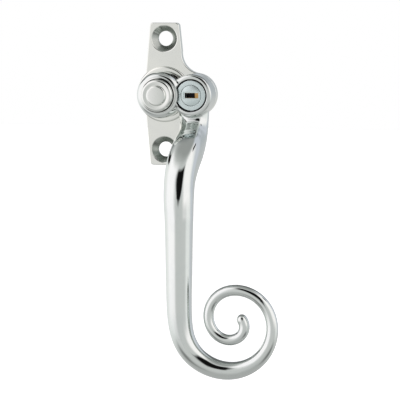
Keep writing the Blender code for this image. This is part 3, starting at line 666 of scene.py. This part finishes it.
def worked_metal(name, bright, dark, rough, spread, scale, grain, depth, metallic=1.0):
    """Plated or bare steel, brass: mottled tone with drawn or rolled grain."""
    m, net, b, co = surface(name, Metallic=metallic)
    mott = net.noise(co, scale, 4.0, 0.6, 0.4)
    lines = net.noise(stretched(net, co, grain), 6.0, 3.0, 0.6)
    pits = net.noise(co, scale * 14, 2.0, 0.55)
    net.put(b.inputs['Base Color'], net.mix(net.step(mott, 0.32, 0.70), bright, dark))
    r = net.math('MULTIPLY_ADD', net.step(lines, 0.35, 0.75), spread, rough)
    net.put(b.inputs['Roughness'], net.math('MULTIPLY_ADD', pits, spread * 0.6, r))
    h = net.math('MULTIPLY', lines, depth)
    h = net.math('MULTIPLY_ADD', pits, depth * 0.7, h)
    bump = net.node('ShaderNodeBump', {'Strength': 1.0, 'Distance': 1.0, 'Height': h})
    net.put(b.inputs['Normal'], bump.outputs['Normal'])
    return m


def nylon(name):
    m, net, b, co = surface(name, Metallic=0.0)
    cloud = net.noise(co, 300, 3.0, 0.6)
    grainy = net.noise(co, 5200, 2.0, 0.6)
    net.put(b.inputs['Base Color'], net.mix(net.step(cloud, 0.3, 0.75), (0.84, 0.83, 0.78), (0.74, 0.73, 0.68)))
    net.put(b.inputs['Roughness'], net.math('MULTIPLY_ADD', grainy, 0.25, 0.36))
    b.inputs['Subsurface Weight'].default_value = 0.15
    b.inputs['Subsurface Radius'].default_value = (0.0006, 0.0005, 0.0004)
    bump = net.node('ShaderNodeBump', {'Strength': 1.0, 'Distance': 1.0,
                                       'Height': net.math('MULTIPLY', grainy, 0.000004)})
    net.put(b.inputs['Normal'], bump.outputs['Normal'])
    return m


def dress(ob, mat):
    ob.data.materials.clear()
    ob.data.materials.append(mat)


# Painted shade: a near-black ring at the rim of the lever's barrel bore.
dress(lever, chrome("polished_chrome_lever", rough=0.045, seed=0.11, crevice_shade=(LOCK_X, 0.0, BARREL_BORE_R + 0.27, HOUSING_FRONT - 0.02)))
# Plate countersinks: rougher, with a darker base colour that is painted shade.
dress(plate, chrome("polished_chrome_plate", rough=0.06, seed=0.37, wave=0.7, lines=(900, 900, 60), base=(0.815, 0.835, 0.785),
                    recesses=((0.0, SCREW_PITCH / 2, CSK_R), (0.0, -SCREW_PITCH / 2, CSK_R))))
# Painted shade: the cap's foot wall above the hub is coloured near black.
dress(cap, chrome("polished_chrome_cap", rough=0.045, seed=0.71, wave=0.6, lines=(300, 300, 300), base=(0.745, 0.772, 0.735),
                  crevice_shade=(0.0, 6.1, 6.5, 14.0)))
dress(barrel, satin("satin_lock_barrel", (0.675, 0.775, 0.765), 0.24, 0.3))
# The plug gets painted shade inside its keyway slot.
dress(plug, satin("satin_lock_plug", (0.665, 0.765, 0.755), 0.24, 0.8, keyway_shade=True))
BRASS = worked_metal("brass_wafer_stock", (0.62, 0.40, 0.17), (0.46, 0.28, 0.10), 0.22, 0.16, 900, (400, 400, 5200), 0.0000015)
SPRING = worked_metal("spring_steel_bright", (0.50, 0.51, 0.53), (0.36, 0.37, 0.39), 0.22, 0.14, 700, (2600, 300, 300), 0.000001)
ZINC = worked_metal("zinc_plated_steel", (0.62, 0.63, 0.61), (0.50, 0.52, 0.50), 0.26, 0.18, 420, (700, 60, 700), 0.0000025)
BLACKED = worked_metal("blackened_steel", (0.060, 0.062, 0.066), (0.030, 0.031, 0.034), 0.34, 0.20, 600, (2000, 200, 2000), 0.000002)
NYLON = nylon("natural_nylon")
for name, mat in (("friction_washer", NYLON), ("spindle", ZINC), ("spindle_screw", ZINC), ("wave_washer", SPRING),
                  ("thrust_washer", ZINC), ("spindle_circlip", BLACKED), ("barrel_pin", SPRING), ("wafer_1", BRASS),
                  ("wafer_2", BRASS), ("wafer_3", BRASS), ("wafer_spring_1", SPRING), ("wafer_spring_2", SPRING),
                  ("wafer_spring_3", SPRING), ("lock_cam", ZINC), ("cam_screw", ZINC), ("lock_bolt", BLACKED)):
    dress(NODES[name], mat)

# ------------------------------------------------------- light, floor, backdrop
# A white studio tent: broad soft cards to the left and right, grey above,
# behind and below, and one dark opening high in front.
world = bpy.data.worlds.new("studio")
world.use_nodes = True
bpy.context.scene.world = world
world.node_tree.nodes.clear()
W = Net(world.node_tree)
d = W.node('ShaderNodeTexCoord').outputs['Generated']
sep = W.node('ShaderNodeSeparateXYZ', {'Vector': d})
DEG = 180 / math.pi
el = W.math('MULTIPLY', W.math('ARCSINE', sep.outputs['Z']), DEG)
az = W.math('MULTIPLY', W.math('ARCTAN2', sep.outputs['X'], W.math('MULTIPLY', sep.outputs['Y'], -1.0)), DEG)
side = W.math('ABSOLUTE', az)
K = 1 / 0.72


def tone(v, tint=(1.0, 1.0, 1.0)):
    """Radiance of a card that chrome shows at sRGB level v."""
    x = v / 255
    lin = ((x + 0.055) / 1.055) ** 2.4 if x > 0.04 else x / 12.92
    return tuple(lin * K * t for t in tint)


def along(points, width):
    """A soft strip that follows a line of (azimuth, elevation) points."""
    near = None
    for (a0, e0), (a1, e1) in zip(points[:-1], points[1:]):
        ua, ue = a1 - a0, e1 - e0
        k = ua * ua + ue * ue
        da, de = W.math('SUBTRACT', az, a0), W.math('SUBTRACT', el, e0)
        t = W.math('ADD', W.math('MULTIPLY', da, ua / k), W.math('MULTIPLY', de, ue / k), clamp=True)
        p = W.math('MULTIPLY_ADD', t, -ua, da)
        q = W.math('MULTIPLY_ADD', t, -ue, de)
        r = W.math('SQRT', W.math('ADD', W.math('MULTIPLY', p, p), W.math('MULTIPLY', q, q)))
        near = r if near is None else W.math('MINIMUM', near, r)
    return W.step(near, width * 1.35, width * 0.6)


def spot(a0, e0, wa, we, inner, outer):
    p = W.math('DIVIDE', W.math('SUBTRACT', az, a0), wa)
    q = W.math('DIVIDE', W.math('SUBTRACT', el, e0), we)
    r = W.math('SQRT', W.math('ADD', W.math('MULTIPLY', p, p), W.math('MULTIPLY', q, q)))
    return W.step(r, outer, inner)


v = W.mix(W.step(el, -50, -8), tone(166), tone(189))
v = W.mix(W.math('MULTIPLY', W.step(el, -62, -30), W.step(side, 70, 110)), v, tone(184))
v = W.mix(W.math('MULTIPLY', W.step(side, 104, 140), W.step(el, -14, 8)), v, tone(172, (0.95, 1.0, 1.06)))
v = W.mix(W.math('MULTIPLY', W.band(az, 98, 112, 140, 158), W.band(el, -20, 0, 56, 72)), v, tone(196, (0.96, 0.98, 1.08)))
v = W.mix(W.step(el, 56, 76), v, tone(148, (0.99, 1.0, 0.99)))
v = W.mix(W.math('MULTIPLY', W.band(az, -165, -118, -60, -22), W.band(el, -40, -14, 20, 40)), v, tone(224))
v = W.mix(W.math('MULTIPLY', W.band(az, 60, 84, 100, 130), W.band(el, -30, -8, 20, 40)), v, tone(222))
v = W.mix(W.math('MULTIPLY', W.band(az, -108, -74, -33, -8), W.band(el, -24, -6, 48, 66)), v, tone(246, (1.03, 0.98, 1.01)))
v = W.mix(W.math('MULTIPLY', W.band(az, 28, 56, 92, 124), W.band(el, -12, 10, 50, 68)), v, tone(242, (1.03, 0.98, 0.99)))
centre = W.step(el, 5, 45, 5, 11)
half = W.step(el, 4, 42, 7, 27)
off = W.math('DIVIDE', W.math('ABSOLUTE', W.math('SUBTRACT', az, centre)), half)
dark = W.math('MULTIPLY', W.step(off, 1.30, 0.76), W.band(el, -2, 17, 50, 58))
v = W.mix(dark, v, tone(16))
arch = W.math('MAXIMUM', W.step(az, -108, -130), W.step(az, 142, 160))
v = W.mix(W.math('MULTIPLY', arch, W.band(el, 12, 26, 60, 78)), v, tone(100, (0.97, 1.0, 1.0)))
v = W.mix(along([(-122, 20), (-106, 28), (-97, 36)], 5.5), v, tone(20))
v = W.mix(along([(114, 43), (104, 46), (98, 49)], 4.5), v, tone(20))
v = W.mix(W.math('MULTIPLY', spot(-50, -36, 24, 11, 0.2, 1.5), 0.62), v, tone(70))
v = W.mix(W.math('MULTIPLY', spot(60, -39, 26, 14, 0.2, 1.5), 0.72), v, tone(70))
studio = W.node('ShaderNodeBackground', {'Color': v, 'Strength': 1.0})
plain = W.node('ShaderNodeBackground', {'Color': (1.0, 1.0, 1.0), 'Strength': 1.0})
seen = W.node('ShaderNodeLightPath').outputs['Is Camera Ray']
both = W.node('ShaderNodeMixShader', {'Fac': seen, 1: studio.outputs[0], 2: plain.outputs[0]})
out = W.node('ShaderNodeOutputWorld', {'Surface': both.outputs[0]})

bm = bmesh.new()
bmesh.ops.create_grid(bm, x_segments=1, y_segments=1, size=4.0)
bmesh.ops.translate(bm, vec=(0, 0, -0.30), verts=bm.verts)
floor = to_object("floor", bm)
fm, fnet, fb, fco = surface("pale_floor", Roughness=0.9)
fb.inputs['Base Color'].default_value = (0.92, 0.92, 0.92, 1.0)
fb.inputs['Emission Color'].default_value = (1.0, 1.0, 1.0, 1.0)
fb.inputs['Emission Strength'].default_value = 0.62
dress(floor, fm)
floor.visible_glossy = False
floor.visible_diffuse = False

# ---------------------------------------------------------------------- camera
AZ, EL, DIST, LENS = math.radians(13.9), math.radians(6.2), 0.700, 166.3
TARGET = Vector((18.45, -20.0, -39.0)) * MM
back = Vector((math.sin(AZ) * math.cos(EL), -math.cos(AZ) * math.cos(EL), math.sin(EL)))
cam_data = bpy.data.cameras.new("camera")
cam_data.sensor_width = 36.0
cam_data.lens = LENS
cam_data.clip_start, cam_data.clip_end = 0.01, 20.0
cam = bpy.data.objects.new("camera", cam_data)
bpy.context.scene.collection.objects.link(cam)
cam.location = TARGET + back * DIST
cam.rotation_mode = 'QUATERNION'
cam.rotation_quaternion = (-back).to_track_quat('-Z', 'Y')
bpy.context.scene.camera = cam
bpy.context.scene.view_settings.view_transform = 'Standard'
